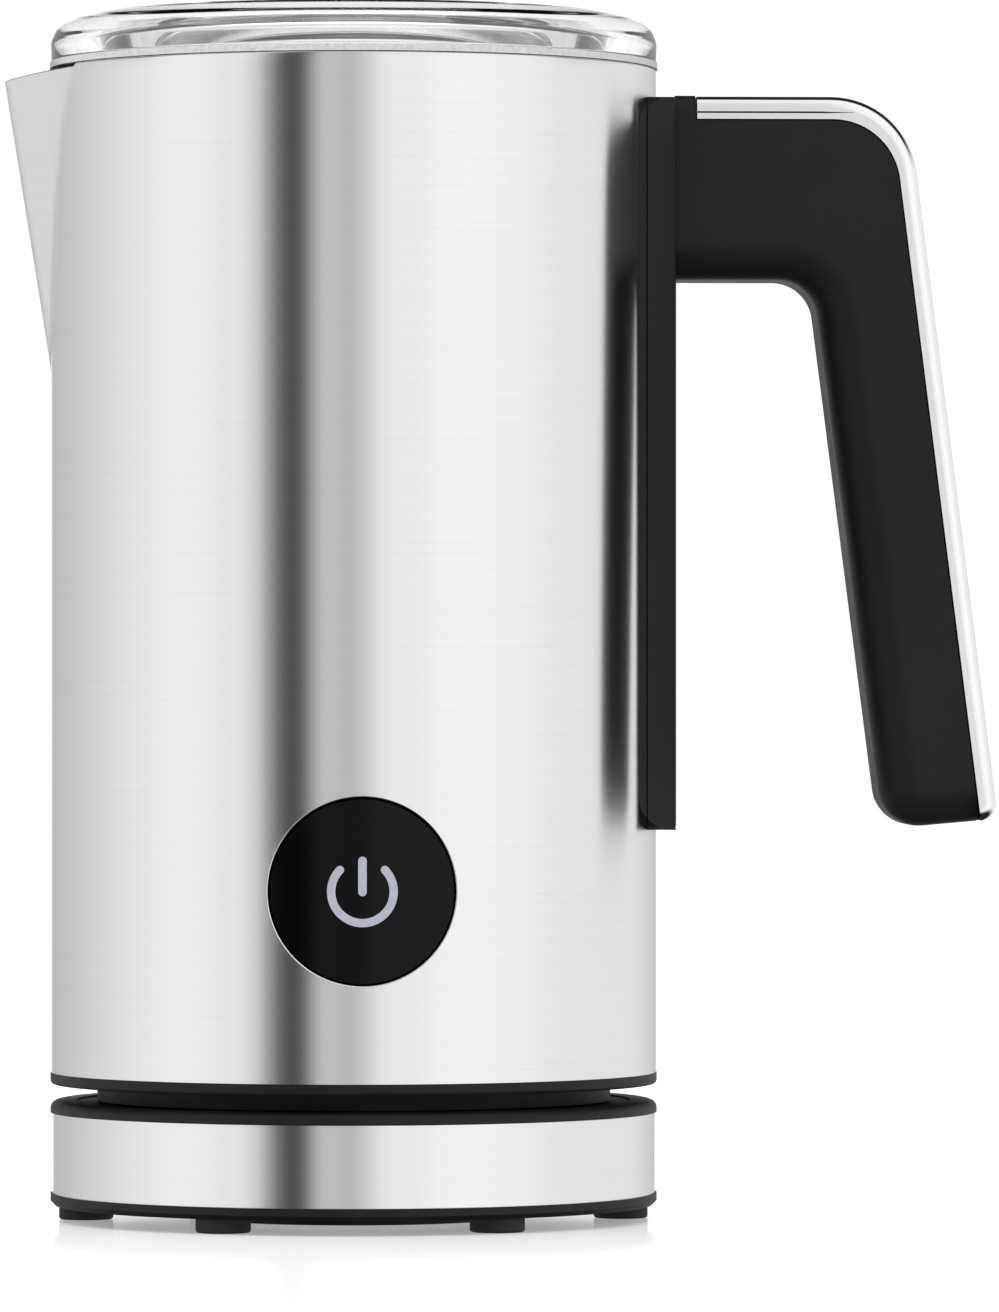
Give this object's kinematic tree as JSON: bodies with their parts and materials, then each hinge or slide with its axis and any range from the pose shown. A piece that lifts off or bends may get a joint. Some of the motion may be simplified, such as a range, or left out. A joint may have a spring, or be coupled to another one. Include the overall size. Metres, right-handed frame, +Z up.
{
  "type": "milk frother",
  "caption": "Electric milk frother: steel jug with pouring spout, clear lid, magnet-driven whisk, side handle and push button, on a cordless power base.",
  "frame": {"origin": "on the jug's vertical axis, in the plane that the feet stand on", "axes": "+Z up, +X towards the handle, -X towards the spout, -Y towards the button"},
  "size_m": [0.1716, 0.1054, 0.2089],
  "materials": {
    "brushed_shell": "fine circumferential brushing",
    "steel_parts": "plain bright steel",
    "chrome_trim": "polished",
    "black_plastic": "satin moulded",
    "button_black": "high gloss",
    "symbol_light": "translucent, frosted",
    "clear_lid": "clear, polished",
    "seal_grey": "translucent silicone",
    "foot_rubber": "matt",
    "pot_coating": "speckled non-stick coating",
    "brass": "bright",
    "magnet": "nickel plated",
    "board_green": "solder resist",
    "component_grey": "moulded",
    "inner_plastic": "heat resistant, natural",
    "lamp_white": "clear",
    "whisk_black": "satin"
  },
  "bodies": {
    "base": {"base_bottom_cover": "black_plastic", "base_band": "brushed_shell", "base_top_cover": "black_plastic", "base_connector": "black_plastic", "base_contacts": "brass", "base_feet": "foot_rubber", "base_screws": "steel_parts", "cord_gland": "foot_rubber"},
    "socket": {"socket_housing": "inner_plastic", "socket_pin": "brass", "socket_ring": "brass"},
    "jug": {"jug_shell": "brushed_shell", "inner_pot": "pot_coating", "spindle_pin": "steel_parts", "jug_floor": "black_plastic", "floor_screws": "steel_parts", "motor_chassis": "inner_plastic", "heater_ring": "steel_parts", "temperature_sensor": "component_grey", "thermal_fuse": "component_grey", "motor_can": "steel_parts", "motor_screws": "steel_parts", "control_board": "board_green", "board_components": "component_grey", "button_guide": "black_plastic", "button_board": "board_green", "tact_switch": "component_grey", "status_lights": "lamp_white", "button_spring": "steel_parts", "handle_shoe": "black_plastic", "handle_grip": "black_plastic", "handle_trim": "chrome_trim", "handle_screws": "steel_parts"},
    "rotor": {"motor_shaft": "steel_parts", "magnet_carrier": "inner_plastic", "drive_magnets": "magnet"},
    "button": {"button_cap": "button_black", "power_symbol": "symbol_light", "switch_plunger": "component_grey"},
    "lid": {"lid_cover": "clear_lid", "lid_seal": "seal_grey"},
    "bush": {"whisk_bush": "brass"},
    "whisk": {"whisk_hub": "whisk_black", "whisk_magnets": "magnet", "whisk_coil": "steel_parts"}
  },
  "joints": [
    {"name": "jug_lift", "type": "slide", "parent": "base", "child": "socket", "axis": [0, 0, 1], "range_m": [0, 0.06]},
    {"name": "jug_turn", "type": "hinge", "parent": "socket", "child": "jug", "pos_m": [0, 0, 0.03], "axis": [0, 0, 1], "continuous": true},
    {"name": "lid_lift", "type": "slide", "parent": "jug", "child": "lid", "axis": [0, 0, 1], "range_m": [0, 0.06]},
    {"name": "button_press", "type": "slide", "parent": "jug", "child": "button", "axis": [0, 1, 0], "range_m": [0, 0.0007], "stiffness_N_per_m": 1500, "springref_m": -0.0006, "deforming": ["button_spring"]},
    {"name": "motor_spin", "type": "hinge", "parent": "jug", "child": "rotor", "pos_m": [0, 0, 0.07], "axis": [0, 0, 1], "continuous": true},
    {"name": "whisk_lift", "type": "slide", "parent": "jug", "child": "bush", "axis": [0, 0, 1], "range_m": [0, 0.09]},
    {"name": "whisk_spin", "type": "hinge", "parent": "bush", "child": "whisk", "pos_m": [0, 0, 0.09], "axis": [0, 0, 1], "continuous": true}
  ],
  "couplings": [
    {"joint": "whisk_spin", "follows": "motor_spin", "ratio": 1}
  ]
}
